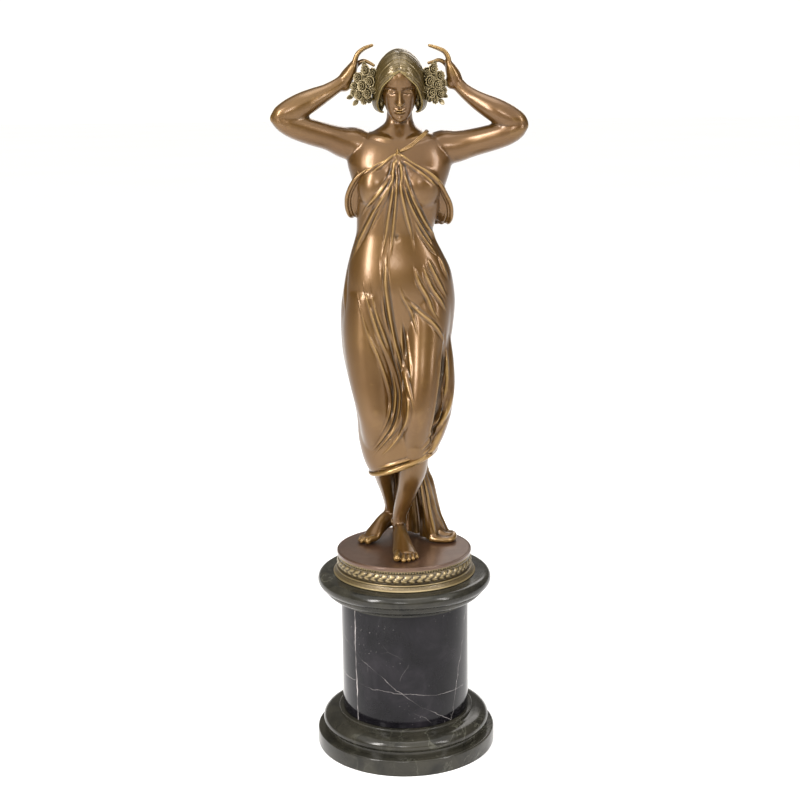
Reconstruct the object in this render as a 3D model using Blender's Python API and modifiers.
"""A cast bronze dancer on a round bronze base, standing on a three-piece turned marble plinth.

The three marble pieces and the bronze base are turned on one upright axis and rest on each other.
The figure is one casting: body, drapery, train, hair and flowers. Its pose and carving are given in
thousandths of its own height, measured up from its soles, with the front facing -Y.
"""

import math

import bmesh
import bpy
import numpy as np

for old in list(bpy.data.objects):
    bpy.data.objects.remove(old, do_unlink=True)

# Plinth sizes, in metres
REST_GAP = 0.0003
FOOT_RADIUS = 0.1138
FOOT_HEIGHT = 0.048
FOOT_SLAB_HEIGHT = 0.021
FOOT_CUSHION_RADIUS = 0.106
FOOT_EDGE = 0.002
DRUM_RADIUS = 0.081
DRUM_HEIGHT = 0.148
COLLAR_MARGIN = 0.005
COLLAR_HEIGHT = 0.004
CAP_RADIUS = 0.110
CAP_HEIGHT = 0.033
CAP_ROLL_HEIGHT = 0.017
CAP_FILLET = 0.003
CAP_COVE_RADIUS = 0.101
BASE_FOOT_RADIUS = 0.0905
BASE_HEIGHT = 0.029
BASE_DISC_RADIUS = 0.085
BASE_RIM_HEIGHT = 0.005
BASE_GROOVE_DEPTH = 0.0022
BASE_BAND_RADIUS = 0.0865
BASE_BAND_BULGE = 0.003
BASE_LIP = 0.001
BAND_MIDDLE_SHARE = 0.52
BAND_HALF_SHARE = 0.20
FLARE_SHARE = 0.27
TURN_STEPS = 48

# Figure sizes
FIGURE_HEIGHT = 0.617
UNIT = FIGURE_HEIGHT / 1000
CAST_GRAIN = 2.6
SMOOTH_PASSES = 5
FIGURE_FACETS = 6050
RING_SIDES = 28

DRUM_Z = FOOT_HEIGHT + REST_GAP
CAP_Z = DRUM_Z + DRUM_HEIGHT + REST_GAP
BASE_Z = CAP_Z + CAP_HEIGHT + REST_GAP
FIGURE_Z = BASE_Z + BASE_HEIGHT + REST_GAP

parts = bpy.data.collections.new("bronze_dancer_on_marble_plinth")
bpy.context.scene.collection.children.link(parts)


def material(name, colour, roughness, metallic):
    made = bpy.data.materials.new(name)
    made.use_nodes = True
    shader = made.node_tree.nodes["Principled BSDF"]
    shader.inputs["Base Color"].default_value = (*colour, 1.0)
    shader.inputs["Roughness"].default_value = roughness
    shader.inputs["Metallic"].default_value = metallic
    made.diffuse_color = (*colour, 1.0)
    return made


# Materials, one to a piece
BRONZE = material("brown_bronze", (0.19, 0.085, 0.033), 0.30, 1.0)
BASE_BRONZE = material("olive_bronze", (0.21, 0.13, 0.05), 0.38, 1.0)
GREEN_MARBLE = material("dark_green_marble", (0.030, 0.029, 0.022), 0.12, 0.0)
VEINED_MARBLE = material("black_veined_marble", (0.014, 0.013, 0.017), 0.10, 0.0)


def node(name, mesh, paint, z=0.0):
    made = bpy.data.objects.new(name, mesh)
    made.data.materials.append(paint)
    made.location.z = z
    parts.objects.link(made)
    return made


def arc(centre_r, centre_z, size_r, size_z, start, end, count):
    """Points of an elliptical arc in the (radius, height) plane, angles in degrees from straight out."""
    angles = [math.radians(start + (end - start) * i / count) for i in range(count + 1)]
    return [(centre_r + size_r * math.cos(a), centre_z + size_z * math.sin(a)) for a in angles]


def turned(name, outer, paint, z):
    """A solid of revolution from its outer side, given from the top down; its ends close on the axis."""
    profile = [(0.0, outer[0][1]), *outer, (0.0, outer[-1][1])]
    mesh = bpy.data.meshes.new(name)
    mesh.from_pydata([(r, 0.0, h) for r, h in profile], [(i, i + 1) for i in range(len(profile) - 1)], [])
    made = node(name, mesh, paint, z)
    spin = made.modifiers.new("turning", "SCREW")
    spin.steps = spin.render_steps = TURN_STEPS
    spin.use_merge_vertices = True
    spin.merge_threshold = 0.00001
    spin.use_smooth_shade = False
    return made


# Marble foot: upright slab, fillet line, cushion and a small collar under the drum
collar_radius = DRUM_RADIUS + COLLAR_MARGIN
cushion_height = FOOT_HEIGHT - FOOT_SLAB_HEIGHT - COLLAR_HEIGHT
turned(
    "marble_foot",
    [
        (collar_radius, FOOT_HEIGHT),
        *arc(collar_radius, FOOT_SLAB_HEIGHT, FOOT_CUSHION_RADIUS - collar_radius, cushion_height, 90, 0, 6),
        (FOOT_RADIUS - FOOT_EDGE, FOOT_SLAB_HEIGHT),
        (FOOT_RADIUS, FOOT_SLAB_HEIGHT - FOOT_EDGE),
        (FOOT_RADIUS, 0.0),
    ],
    GREEN_MARBLE,
    0.0,
)

# Veined drum: a plain cylinder
turned("marble_drum", [(DRUM_RADIUS, DRUM_HEIGHT), (DRUM_RADIUS, 0.0)], VEINED_MARBLE, DRUM_Z)

# Marble cap: bold upper roll, a fillet line, a cove and a thin collar on the drum
roll_half = CAP_ROLL_HEIGHT / 2
cove_top = CAP_HEIGHT - CAP_ROLL_HEIGHT - CAP_FILLET
cove_depth = CAP_COVE_RADIUS - collar_radius
turned(
    "marble_cap",
    [
        *arc(CAP_RADIUS - roll_half, CAP_HEIGHT - roll_half, roll_half, roll_half, 90, -90, 6),
        (CAP_COVE_RADIUS, cove_top + CAP_FILLET),
        (CAP_COVE_RADIUS, cove_top),
        *arc(collar_radius, cove_top, cove_depth, cove_top - COLLAR_HEIGHT, 0, -90, 4)[1:],
        (collar_radius, 0.0),
    ],
    GREEN_MARBLE,
    CAP_Z,
)

# Bronze base: disc with an upright rim, groove, leaf band and a flared foot
rim_low = BASE_HEIGHT - BASE_RIM_HEIGHT
band_middle = BASE_HEIGHT * BAND_MIDDLE_SHARE
band_half = BASE_HEIGHT * BAND_HALF_SHARE
flare_top = BASE_HEIGHT * FLARE_SHARE
turned(
    "bronze_base",
    [
        (BASE_DISC_RADIUS, BASE_HEIGHT),
        (BASE_DISC_RADIUS, rim_low),
        (BASE_DISC_RADIUS - BASE_GROOVE_DEPTH, rim_low - BASE_GROOVE_DEPTH),
        *arc(BASE_BAND_RADIUS - BASE_BAND_BULGE, band_middle, BASE_BAND_BULGE, band_half, 75, -75, 4),
        (BASE_BAND_RADIUS - BASE_GROOVE_DEPTH, flare_top + BASE_LIP),
        (BASE_BAND_RADIUS + BASE_LIP, flare_top),
        (BASE_FOOT_RADIUS, BASE_GROOVE_DEPTH),
        (BASE_FOOT_RADIUS, 0.0),
    ],
    BASE_BRONZE,
    BASE_Z,
)


# The figure is put together from closed rounded forms, in thousandths of its height
figure_form = bmesh.new()


def eased(rows, count):
    """A smooth run of `count` rows through the given ones."""
    rows = np.array(rows, float)
    padded = np.vstack([2 * rows[0] - rows[1], rows, 2 * rows[-1] - rows[-2]])
    steps = np.linspace(0, len(rows) - 1, count)
    i = np.minimum(steps.astype(int), len(rows) - 2)
    t = (steps - i)[:, None]
    a, b, c, d = padded[i], padded[i + 1], padded[i + 2], padded[i + 3]
    return b + 0.5 * t * (c - a + t * (2 * a - 5 * b + 4 * c - d + t * (3 * (b - c) + d - a)))


def ramp(value, low, high):
    """Rises smoothly from 0 at `low` to 1 at `high`."""
    t = np.clip((value - low) / (high - low), 0, 1)
    return t * t * (3 - 2 * t)


def shell(rings):
    """Joins rings of points, equal in count, into one closed form."""
    loops = [[figure_form.verts.new(point) for point in ring] for ring in rings]
    sides = len(loops[0])
    for low, high in zip(loops, loops[1:]):
        for i in range(sides):
            j = (i + 1) % sides
            figure_form.faces.new((low[i], low[j], high[j], high[i]))
    figure_form.faces.new(loops[0][::-1])
    figure_form.faces.new(loops[-1])


def level_form(rows, count, square=2.2):
    """A form of level slices. Each row: height, left x, right x, front y, back y, rise per x."""
    rings = []
    for z, left, right, front, back, slope in eased(rows, count):
        cx = (left + right) / 2
        cy = (front + back) / 2
        ring = []
        for k in range(RING_SIDES):
            a = math.tau * k / RING_SIDES
            c, s = math.cos(a), math.sin(a)
            x = (right - left) / 2 * math.copysign(abs(c) ** (2 / square), c)
            y = (back - front) / 2 * math.copysign(abs(s) ** (2 / square), s)
            ring.append((cx + x, cy + y, z + slope * (cx + x)))
        rings.append(ring)
    shell(rings)


def limb(rows, count, sides=16, flat=(0, 1, 0)):
    """A rounded limb along a path. Each row: x, y, z, half width across, half width along `flat`."""
    rows = eased(rows, count)
    rings = []
    across = None
    for n, (x, y, z, wide, deep) in enumerate(rows):
        ahead = rows[min(n + 1, count - 1), :3] - rows[max(n - 1, 0), :3]
        ahead /= np.linalg.norm(ahead)
        side = np.cross(flat, ahead)
        if np.linalg.norm(side) < 0.2 and across is not None:
            side = across
        side /= np.linalg.norm(side)
        across = side
        up = np.cross(ahead, side)
        angles = [math.tau * k / sides for k in range(sides)]
        rings.append([(x, y, z) + wide * math.cos(a) * side + deep * math.sin(a) * up for a in angles])
    shell(rings)


def ball(x, y, z, rx, ry, rz):
    """An egg form."""
    rings = []
    for k in range(1, 12):
        a = math.pi * k / 12
        angles = [math.tau * i / 16 for i in range(16)]
        out = math.sin(a)
        height = z - rz * math.cos(a)
        rings.append([(x + rx * out * math.cos(b), y + ry * out * math.sin(b), height) for b in angles])
    shell(rings)


# Trunk and gown, from the neck down to the hem, which turns in and up inside
level_form(
    [
        (878, -24, 25, -25, 24, 0),
        (858, -27, 27, -19, 31, 0),
        (846, -42, 37, -22, 34, 0),
        (838, -58, 56, -26, 38, 0),
        (826, -84, 84, -35, 44, 0),
        (808, -94, 95, -45, 50, 0),
        (785, -102, 104, -53, 53, 0),
        (760, -97, 99, -58, 52, 0),
        (725, -87, 85, -60, 46, 0),
        (690, -84, 76, -51, 40, 0),
        (655, -84, 62, -47, 36, 0),
        (637, -87, 64, -47, 38, 0),
        (605, -97, 80, -51, 48, 0),
        (574, -105, 95, -56, 60, 0),
        (541, -111, 102, -58, 70, 0),
        (509, -117, 105, -54, 74, 0),
        (478, -119, 103, -48, 72, 0),
        (446, -119, 99, -43, 66, 0),
        (413, -117, 94, -40, 60, 0),
        (381, -112, 90, -40, 57, 0),
        (348, -105, 89, -42, 58, 0),
        (314, -96, 88, -46, 60, 0.04),
        (282, -90, 84, -49, 62, 0.10),
        (250, -88, 79, -50, 64, 0.18),
        (222, -82, 74, -49, 66, 0.26),
        (198, -74, 68, -47, 67, 0.32),
        (184, -66, 63, -46, 66, 0.35),
        (182, -60, 58, -40, 60, 0.35),
        (210, -54, 52, -30, 50, 0.35),
    ],
    110,
)
for side_x in (-43, 39):
    ball(side_x, -33, 735, 38, 34, 44)
for side_x in (-44, 38):
    ball(side_x, 26, 510, 58, 52, 66)
for knee in ((31, -66, 290), (-48, -48, 284)):
    ball(*knee, 17, 16, 22)

# Legs: the front one steps forward under the cloth, the other trails with its heel raised
limb(
    [
        (48, 6, 520, 54, 56),
        (46, -10, 460, 47, 50),
        (43, -25, 410, 40, 43),
        (40, -40, 360, 36, 38),
        (35, -50, 315, 32, 34),
        (31, -52, 288, 30, 31),
        (28, -42, 258, 29, 30),
        (26, -29, 225, 30, 32),
        (22, -16, 190, 30, 33),
        (17, -8, 160, 29, 30),
        (9, 5, 125, 23, 25),
        (0, 14, 92, 19, 21),
        (-7, 21, 66, 16, 18),
        (-10, 25, 46, 15, 19),
        (-10, 29, 26, 14, 19),
        (-9, 31, 14, 12, 17),
    ],
    60,
    20,
)
limb(
    [
        (-54, 4, 520, 56, 58),
        (-60, -2, 460, 56, 54),
        (-62, -10, 410, 51, 50),
        (-60, -18, 360, 45, 45),
        (-56, -26, 315, 38, 40),
        (-51, -29, 284, 35, 36),
        (-49, -16, 250, 33, 35),
        (-46, 2, 215, 31, 36),
        (-42, 20, 180, 27, 33),
        (-38, 38, 145, 22, 27),
        (-33, 55, 112, 17, 21),
        (-29, 68, 85, 14, 17),
        (-27, 78, 66, 14, 17),
        (-25, 84, 46, 12, 15),
    ],
    56,
    20,
)
UP = (0, 0, 1)
limb(
    [
        (-7, 50, 14, 9, 10),
        (-8, 38, 17, 15, 17),
        (-8, 14, 24, 16, 22),
        (-6, -12, 23, 17, 20),
        (-3, -36, 16, 20, 15),
        (0, -60, 10, 24, 11),
        (3, -80, 7, 22, 8),
    ],
    18,
    16,
    UP,
)
limb(
    [
        (-9, 98, 32, 9, 10),
        (-16, 92, 34, 13, 15),
        (-28, 80, 38, 15, 19),
        (-42, 64, 34, 15, 18),
        (-56, 50, 22, 18, 14),
        (-66, 39, 12, 21, 11),
        (-73, 33, 8, 19, 8),
    ],
    18,
    16,
    UP,
)
# Toes: base x, y and tip x, y, then thickness, from the big toe outwards
front_toes = [(-13, -74, -15, -102, 7.5), (-3, -76, -1, -106, 5.6), (7, -74, 9, -101, 5.2)]
front_toes += [(14, -70, 17, -94, 5), (20, -62, 24, -83, 5)]
rear_toes = [(-60, 29, -79, 11, 7.5), (-68, 34, -90, 22, 5.6), (-72, 41, -94, 31, 5.2)]
rear_toes += [(-74, 48, -94, 40, 5), (-75, 56, -90, 51, 5)]
for base_x, base_y, tip_x, tip_y, thick in front_toes + rear_toes:
    root = (base_x, base_y, thick + 2, thick, thick)
    middle = ((base_x + tip_x) / 2, (base_y + tip_y) / 2, thick + 2.5, thick, thick)
    limb([root, middle, (tip_x, tip_y, thick, thick, thick * 0.8)], 7, 10, UP)

# Arms, raised with the elbows out and the hands beside the head. Left in the photo, then right
ARMS = {
    -1: (
        [(-58, 8, 806, 30, 34), (-84, 7, 815, 33, 32), (-108, 2, 820, 30, 29), (-135, -6, 830, 25.5, 26)]
        + [(-170, -18, 841, 25, 25), (-202, -28, 853, 24, 24), (-228, -35, 864, 18, 19)]
        + [(-246, -37, 869, 5, 6)],
        [(-243, -37, 868, 6, 7), (-230, -36, 872, 17, 18), (-208, -33, 880, 23.5, 22)]
        + [(-182, -28, 893, 23.5, 22), (-158, -20, 905, 20, 19), (-138, -13, 915, 16, 16)]
        + [(-118, -7, 927, 13, 14), (-106, -4, 935, 11.5, 14)],
        [(-106, -4, 935, 11, 14), (-98, -2, 947, 10, 18), (-91, 0, 959, 8, 20), (-85, 2, 970, 6, 19)],
        [(-86, 968), (-83, 978), (-77, 989), (-66, 997), (-52, 1003)],
        [(-92, 950), (-80, 966), (-68, 973), (-56, 969), (-46, 963)],
    ),
    1: (
        [(60, 8, 804, 30, 34), (86, 7, 808, 34, 32), (110, 2, 810, 31, 29), (140, -6, 817, 27, 26)]
        + [(175, -18, 826, 25.5, 25), (206, -28, 836, 24, 24), (230, -35, 847, 18, 19)]
        + [(246, -37, 852, 5, 6)],
        [(244, -37, 852, 6, 7), (231, -36, 856, 17, 18), (210, -33, 864, 23.5, 22)]
        + [(184, -28, 878, 23.5, 22), (160, -20, 891, 20, 19), (141, -13, 903, 16.5, 16)]
        + [(122, -7, 918, 13, 14), (110, -4, 930, 12, 14)],
        [(111, -4, 932, 12, 14), (107, -2, 945, 12, 18), (101, 0, 958, 10, 20), (95, 2, 970, 6.5, 19)],
        [(96, 967), (94, 978), (87, 989), (74, 995), (59, 1001)],
        [(98, 952), (90, 966), (78, 973), (67, 970), (55, 967)],
    ),
}
# Each finger: depth from the palm's middle, and how much of the drawn path it runs along
FINGERS = ((-13, 0.72), (-4.5, 0.92), (4, 1.0), (12.5, 0.86))
for upper, fore, palm, finger_path, thumb_path in ARMS.values():
    limb(upper, 36, 18)
    limb(fore, 36, 18)
    limb(palm, 14, 16)
    path = eased(finger_path, 21)
    for depth, share in FINGERS:
        count = int(21 * share)
        thick = np.linspace(5.2, 3.6, count)
        fingers = [(x, depth + 2, z, r, r) for (x, z), r in zip(path[:count], thick)]
        limb(fingers, count, 10)
    limb([(x, 17, z, 4, 4) for x, z in thumb_path], 12, 10)
for heel_x, heel_z in ((-105, 929), (103, 931)):
    ball(heel_x, -1, heel_z, 15, 13, 14)

# Head: an egg form bowed forward, in its own frame with the chin down and the crown up
HEAD_SCALE = 0.945
HEAD_BOW = math.radians(23)
HEAD_PLACE = np.array([1.0, -13.0, 931.0])


def head_point(point):
    x, y, z = (HEAD_SCALE * part for part in point)
    c, s = math.cos(HEAD_BOW), math.sin(HEAD_BOW)
    return HEAD_PLACE + (x, y * c - z * s, z * c + y * s)


def head_local(points):
    c, s = math.cos(HEAD_BOW), math.sin(HEAD_BOW)
    x, y, z = ((points - HEAD_PLACE) / HEAD_SCALE).T
    return x, y * c + z * s, z * c - y * s


skull = eased(
    [
        (-66, 9, -45, -20),
        (-61, 17, -50, -10),
        (-50, 26, -50.5, 0),
        (-36, 32, -50, 18),
        (-20, 37, -50, 38),
        (-4, 40.5, -49, 50),
        (12, 42.5, -51, 56),
        (30, 42, -48, 57),
        (45, 35, -38, 48),
        (56, 22, -22, 32),
        (61, 9, -8, 16),
    ],
    26,
)
rings = []
for h, half, front, back in skull:
    angles = [math.tau * k / 24 for k in range(24)]
    mid = (front + back) / 2
    deep = (back - front) / 2
    rings.append([head_point((half * math.cos(a), mid + deep * math.sin(a), h)) for a in angles])
shell(rings)

# Hair: parted in the middle, swept over the temples in locks and rolled at the nape
HAIR_CENTRE = np.array([0, 4, 3])
HAIR_SIZE = np.array([47, 54, 59])
LOCKS = 7
for sign in (-1, 1):
    for k in range(LOCKS):
        s = k / (LOCKS - 1)
        part_angle = math.radians(40 + 105 * s)
        start = np.array([sign * 0.07, -math.cos(part_angle), math.sin(part_angle)])
        sweep = np.array([sign * (1.25 - 0.3 * s), -0.95 + 2.0 * s, 0.42])
        end = np.array([sign * (0.88 - 0.62 * s), -0.12 + 1.0 * s, -0.86 + 0.16 * s])
        path = []
        outward = []
        for t in np.linspace(0, 1, 14):
            ray = (1 - t) ** 2 * start + 2 * t * (1 - t) * sweep + t**2 * end
            ray /= np.linalg.norm(ray)
            full = min(1, 0.5 + 4 * t)
            path.append((*head_point(HAIR_CENTRE + HAIR_SIZE * ray), 9.5 * full, 5.5 * full))
            outward.append(ray)
        limb(path, 14, 12, tuple(np.mean(outward[3:9], axis=0)))
ball(*head_point((0, 7, 6)), 44, 50, 58)
for sign in (-1, 1):
    temple = [(34, -43, 26, 8), (43, -36, 6, 10), (47, -25, -18, 12), (46, -14, -42, 14)]
    temple += [(41, -8, -55, 11)]
    limb([(*head_point((sign * x, y, h)), r, r) for x, y, h, r in temple], 22, 12)
roll = [(-38, -10, -50), (-43, 12, -55), (-35, 37, -52), (0, 50, -48)]
roll += [(35, 37, -52), (43, 12, -55), (38, -10, -50)]
limb([(*head_point(point), 9, 10) for point in roll], 30, 12, UP)

# Roses over the ears: a heart with six petals round it
ROSES = ((-52, -20, 950, 15), (-76, -14, 933, 15), (-71, -16, 911, 16), (-54, -14, 927, 15))
ROSES += ((-62, 0, 934, 20), (-84, -10, 903, 9))
ROSES += ((56, -20, 951, 15), (75, -14, 934, 14), (70, -16, 911, 15), (58, -14, 929, 15))
ROSES += ((62, 0, 934, 20), (80, -10, 914, 9))
for x, y, z, size in ROSES:
    ball(x, y - size * 0.3, z, size * 0.5, size * 0.5, size * 0.5)
    for k in range(6):
        a = math.tau * (k + 0.25) / 6
        petal_x = x + size * 0.52 * math.cos(a)
        petal_z = z + size * 0.52 * math.sin(a)
        ball(petal_x, y, petal_z, size * 0.5, size * 0.6, size * 0.5)

# Knot and strap, and the loops of cloth that hang under the arms
ball(-4, -52, 803, 6, 7, 6)
limb(
    [(-4, -50, 803, 3, 4), (24, -43, 817, 3.5, 4), (44, -30, 828, 4, 4), (54, 0, 837, 4.5, 4.5)]
    + [(54, 28, 831, 5, 5), (46, 43, 812, 5, 5), (34, 48, 785, 4, 4)],
    22,
    10,
)
LOOPS = {
    -1: [(-62, -50, 772), (-86, -44, 752), (-101, -34, 724), (-104, -22, 700), (-99, -10, 681), (-92, 8, 679)]
    + [(-88, 26, 696), (-72, 42, 716), (-40, 47, 722), (-6, 44, 718)],
    1: [(46, -53, 766), (75, -46, 742), (89, -36, 719), (98, -24, 698), (99, -12, 675), (92, 6, 663)]
    + [(84, 26, 684), (68, 40, 706), (36, 46, 718), (4, 44, 718)],
}
for sign, path in LOOPS.items():
    for k in range(3):
        rows = [(x - sign * 9 * k * ramp(abs(x), 20, 80), y + 3 * k, z - 2 * k, 5, 5.5) for x, y, z in path]
        limb(rows, 30, 10)

# Cloth that hangs at the side of the stepping leg and runs on as the hem's border
limb(
    [
        (76, 14, 500, 8, 20),
        (82, 8, 440, 14, 28),
        (88, 2, 390, 15, 34),
        (90, -2, 350, 15, 36),
        (88, -6, 315, 15, 36),
        (81, -10, 282, 15, 34),
        (71, -15, 250, 14, 32),
        (60, -20, 224, 11, 28),
        (48, -30, 206, 9, 20),
    ],
    24,
    16,
)
limb(
    [(64, -14, 216, 8, 8), (49, -36, 205, 8, 8), (22, -47, 192, 7, 7), (-12, -49, 179, 7, 7)]
    + [(-42, -40, 168, 6, 6), (-62, -16, 161, 6, 6), (-66, 12, 159, 5, 5)],
    24,
    10,
)

# Train: hanging folds behind the legs that spread on the disc
TRAIN = (
    [(48, 26, 400, 12), (46, 40, 260, 12), (34, 46, 160, 12), (44, 48, 110, 12)]
    + [(53, 44, 60, 12), (61, 37, 28, 13), (68, 34, 6, 15)],
    [(56, 20, 400, 12), (50, 40, 260, 12), (38, 52, 160, 12), (52, 56, 110, 12)]
    + [(60, 58, 60, 12), (70, 60, 28, 12), (96, 62, 6, 12)],
    [(34, 38, 400, 12), (32, 48, 260, 12), (26, 60, 160, 12), (36, 60, 110, 11)]
    + [(44, 58, 55, 11), (46, 52, 4, 12)],
    [(14, 42, 420, 12), (14, 54, 270, 12), (16, 76, 150, 12), (24, 84, 50, 12), (28, 82, 4, 13)],
    [(-6, 44, 430, 12), (-6, 55, 280, 12), (0, 80, 140, 12), (6, 97, 50, 12), (10, 100, 4, 13)],
    [(-28, 42, 420, 12), (-28, 53, 290, 12), (-22, 76, 150, 12), (-14, 100, 50, 11), (-12, 108, 4, 12)],
)
for fold in TRAIN:
    limb([(x, y, z, r, r) for x, y, z, r in fold], 30, 12)
limb([(66, 32, 8, 10, 9), (86, 26, 7, 10, 8), (102, 36, 7, 9, 8), (104, 62, 7, 9, 8)], 14, 12, UP)


# All the forms become one skin, as the casting is one piece
def skin_of(form):
    """The fused outer skin of the forms, smoothed, as points and faces in thousandths."""
    mesh = bpy.data.meshes.new("forms")
    bmesh.ops.recalc_face_normals(form, faces=form.faces)
    form.to_mesh(mesh)
    form.free()
    forms = bpy.data.objects.new("forms", mesh)
    bpy.context.scene.collection.objects.link(forms)
    fuse = forms.modifiers.new("fuse", "REMESH")
    fuse.mode = "VOXEL"
    fuse.voxel_size = CAST_GRAIN
    calm = forms.modifiers.new("calm", "SMOOTH")
    calm.factor = 0.5
    calm.iterations = SMOOTH_PASSES
    graph = bpy.context.evaluated_depsgraph_get()
    fused = bpy.data.meshes.new_from_object(forms.evaluated_get(graph))
    bpy.data.objects.remove(forms, do_unlink=True)
    return fused


def carve(points, normals, side, path, width, height):
    """How far one fold raises the cloth: a soft ridge with a valley on each side, seen from one side."""
    line = eased(path, 6 * len(path))
    x, z = points[:, 0], points[:, 2]
    reach = 4 * width
    low, high = line.min(axis=0) - reach, line.max(axis=0) + reach
    near = (x > low[0]) & (x < high[0]) & (z > low[1]) & (z < high[1])
    near &= normals[:, 1] * side > -0.1
    picked = np.nonzero(near)[0]
    x, z = x[picked], z[picked]
    best = np.full(len(picked), 1e9)
    along = np.zeros(len(picked))
    for n, (a, b) in enumerate(zip(line, line[1:])):
        step = b - a
        t = np.clip(((x - a[0]) * step[0] + (z - a[1]) * step[1]) / (step @ step), 0, 1)
        gap = (x - a[0] - t * step[0]) ** 2 + (z - a[1] - t * step[1]) ** 2
        closer = gap < best
        best = np.where(closer, gap, best)
        along = np.where(closer, (n + t) / (len(line) - 1), along)
    off = np.sqrt(best) / width
    ridge = np.exp(-off * off) - 0.42 * np.exp(-(((off - 2.0) / 0.8) ** 2))
    fade = ramp(along, 0, 0.14) * ramp(1 - along, 0, 0.16) * ramp(normals[picked, 1] * side, -0.1, 0.4)
    raised = np.zeros(len(points))
    raised[picked] = height * ridge * fade
    return raised


# Folds seen from the front: path of x and height, width, rise
KNOT = (-6, 806)
FRONT_FOLDS = [
    ([KNOT, (-13, 798), (-44, 788), (-66, 774), (-88, 752)], 3.6, 3.2),
    ([(-4, 806), (5, 798), (34, 781), (49, 766), (72, 746)], 3.6, 3.2),
    ([KNOT, (-13, 790), (-36, 778), (-58, 763)], 3.0, 2.0),
    ([KNOT, (-13, 787), (-22, 758), (-40, 728), (-64, 692), (-78, 660)], 4.0, 3.4),
    ([KNOT, (-11, 776), (-22, 732), (-50, 687), (-68, 654), (-84, 621), (-98, 580)], 4.0, 3.4),
    ([KNOT, (-11, 754), (-16, 710), (-25, 666), (-37, 609), (-50, 560)], 3.8, 3.0),
    ([KNOT, (-8, 755), (-9, 687), (-14, 643), (-22, 590)], 3.4, 3.0),
    ([(-4, 806), (-2, 755), (5, 710), (17, 676), (24, 643), (29, 609), (36, 565)], 3.6, 3.0),
    ([(-4, 806), (-1, 776), (9, 741), (26, 699), (44, 666), (64, 621), (82, 585)], 4.0, 3.6),
    ([(-3, 806), (2, 787), (13, 749), (33, 710), (46, 683), (60, 645)], 3.4, 2.4),
    ([(36, 600), (42, 556), (55, 520), (72, 481), (84, 450)], 4.0, 3.2),
    ([(22, 575), (28, 542), (48, 508)], 3.6, 2.4),
    ([(2, 534), (14, 503), (32, 458)], 3.8, 2.4),
    ([(50, 580), (62, 536), (82, 495), (92, 465)], 3.8, 3.0),
    ([(-84, 560), (-70, 503), (-46, 437), (-30, 393), (-6, 313)], 4.2, 3.4),
    ([(-60, 545), (-45, 491), (-34, 429), (-20, 382), (0, 318)], 4.2, 3.2),
    ([(-34, 580), (-25, 520), (-21, 470), (-8, 420), (8, 365), (25, 288)], 4.6, 5.0),
    ([(-37, 380), (-21, 345), (-15, 299), (-24, 262), (-46, 225), (-72, 195)], 4.2, 3.4),
    ([(-26, 380), (-9, 336), (-3, 290), (-13, 253), (-34, 218), (-62, 186)], 4.2, 3.2),
    ([(-12, 380), (4, 332), (9, 284), (-2, 240), (-26, 206), (-60, 176)], 4.2, 3.2),
    ([(46, 222), (22, 205), (-12, 188), (-48, 172)], 4.0, 2.8),
    ([(90, 318), (84, 270), (66, 234), (44, 212)], 4.0, 3.0),
    ([(78, 325), (70, 270), (58, 236)], 3.8, 2.6),
]
# The long valley between the stepping leg and the cloth hanging beside it
SIDE_VALLEY = [(84, 470), (81, 409), (79, 372), (66, 299), (58, 248), (52, 226)]
BACK_FOLDS = 9


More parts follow.
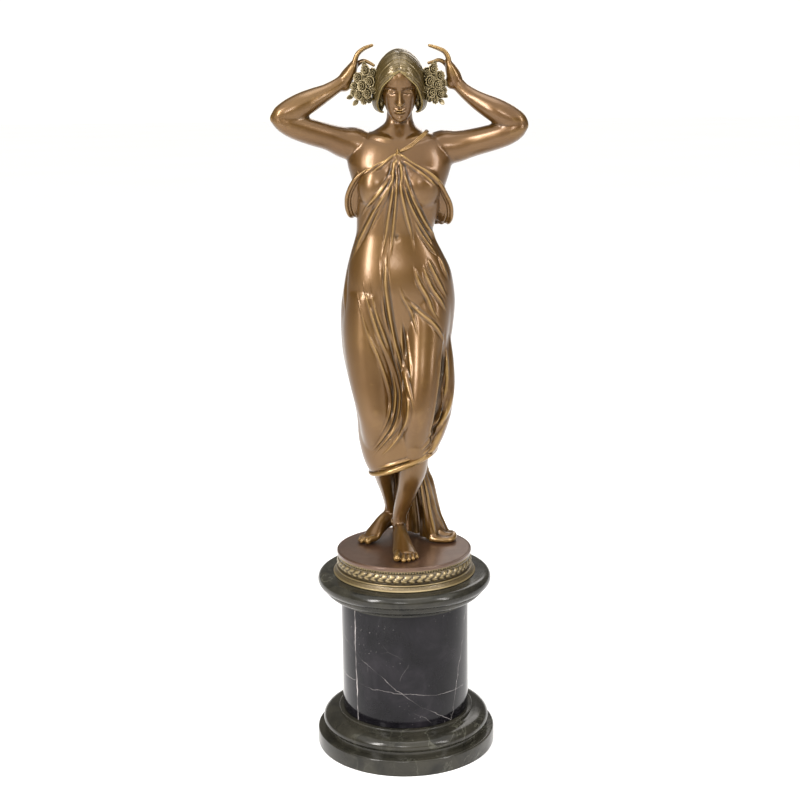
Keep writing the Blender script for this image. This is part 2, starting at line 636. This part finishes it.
def sculpted(points, normals):
    """The skin's points with the folds, the navel, the collarbones and the face worked in."""
    raised = np.zeros(len(points))
    for path, width, height in FRONT_FOLDS:
        raised += carve(points, normals, -1, path, width, height)
    raised += carve(points, normals, -1, SIDE_VALLEY, 5.0, -7.0)
    for sign in (-1, 1):
        raised += carve(points, normals, -1, [(sign * 10, 826), (sign * 38, 831), (sign * 66, 838)], 4.0, 2.0)
    for k in range(BACK_FOLDS):
        turn = (k - (BACK_FOLDS - 1) / 2) / BACK_FOLDS
        path = [(60 * turn + 10, 700), (90 * turn + 2, 620), (170 * turn - 4, 500)]
        path += [(150 * turn - 2, 360), (110 * turn + 6, 230), (96 * turn + 20, 120)]
        raised += carve(points, normals, 1, path, 5.0, 3.6)
    raised += carve(points, normals, 1, [(-86, 742), (-40, 722), (10, 720), (60, 730), (84, 738)], 4.0, 3.0)
    raised += carve(points, normals, 1, [(0, 830), (0, 780), (-2, 735)], 7.0, -3.0)
    moved = points + normals * raised[:, None]

    x, y, h = head_local(moved)
    face = ramp(-y, 18, 34) * ramp(-np.abs(h + 10), -64, -56) * ramp(-np.abs(x), -46, -38)

    def bump(cx, ch, wide, tall):
        return np.exp(-(((x - cx) / wide) ** 2) - (((h - ch) / tall) ** 2))

    down = np.clip((8 - h) / 32, 0, 1)
    ridge = np.exp(-((x / (4.2 + 2.6 * down)) ** 2)) * ramp(h, -27, -22) * ramp(-h, -16, 2)
    nose = (2.5 + 9.5 * down) * ridge
    out = nose
    for side in (-1, 1):
        out = out + 2.2 * bump(side * 6.5, -22, 3.2, 3.4)
        out = out - 5.0 * bump(side * 17, 0, 10, 6.0) + 2.6 * bump(side * 17, -1, 6.5, 4.0)
        out = out + 1.8 * bump(side * 17, 10, 12, 3.5) + 1.6 * bump(side * 24, -18, 9, 9)
        out = out - 1.6 * bump(side * 15, -38, 5, 5)
    out = out + 2.6 * bump(0, -35.5, 9, 3.0) + 2.9 * bump(0, -42, 7.5, 3.2) - 2.4 * bump(0, -38.7, 10, 1.4)
    out = out - 2.0 * bump(0, -48, 8, 3.4) + 3.4 * bump(0, -57, 9, 6)
    ahead = np.array([0.0, -math.cos(HEAD_BOW), -math.sin(HEAD_BOW)]) * HEAD_SCALE
    return moved + (face * out)[:, None] * ahead


casting_skin = skin_of(figure_form)
count = len(casting_skin.vertices)
points = np.empty(count * 3, np.float32)
casting_skin.vertices.foreach_get("co", points)
points = points.reshape(-1, 3)
normals = np.empty(count * 3, np.float32)
casting_skin.vertices.foreach_get("normal", normals)
points = sculpted(points.astype(float), normals.reshape(-1, 3).astype(float))
casting_skin.vertices.foreach_set("co", points.astype(np.float32).ravel())
casting_skin.update()

# Fewer, larger facets where the form is plain
worked = bpy.data.objects.new("worked", casting_skin)
bpy.context.scene.collection.objects.link(worked)
thin = worked.modifiers.new("facets", "DECIMATE")
thin.ratio = FIGURE_FACETS / (2 * len(casting_skin.polygons))
graph = bpy.context.evaluated_depsgraph_get()
faceted = bpy.data.meshes.new_from_object(worked.evaluated_get(graph))
bpy.data.objects.remove(worked, do_unlink=True)

# The soles and the train end flat on the disc, and the largest skin is kept
form = bmesh.new()
form.from_mesh(faceted)
form.verts.ensure_lookup_table()
seen = set()
skins = []
for start in form.verts:
    if start in seen:
        continue
    skin = {start}
    waiting = [start]
    while waiting:
        vert = waiting.pop()
        for edge in vert.link_edges:
            other = edge.other_vert(vert)
            if other not in skin:
                skin.add(other)
                waiting.append(other)
    seen |= skin
    skins.append(skin)
largest = max(skins, key=len)
bmesh.ops.delete(form, geom=[vert for vert in form.verts if vert not in largest], context="VERTS")
geom = form.verts[:] + form.edges[:] + form.faces[:]
bmesh.ops.bisect_plane(form, geom=geom, plane_co=(0, 0, 0), plane_no=(0, 0, 1), clear_inner=True)
rim = [edge for edge in form.edges if edge.is_boundary]
bmesh.ops.triangle_fill(form, edges=rim, use_beauty=True)
bmesh.ops.recalc_face_normals(form, faces=form.faces)
bmesh.ops.scale(form, vec=(UNIT, UNIT, UNIT), verts=form.verts)
casting = bpy.data.meshes.new("bronze_figure")
form.to_mesh(casting)
form.free()
node("bronze_figure", casting, BRONZE, FIGURE_Z)
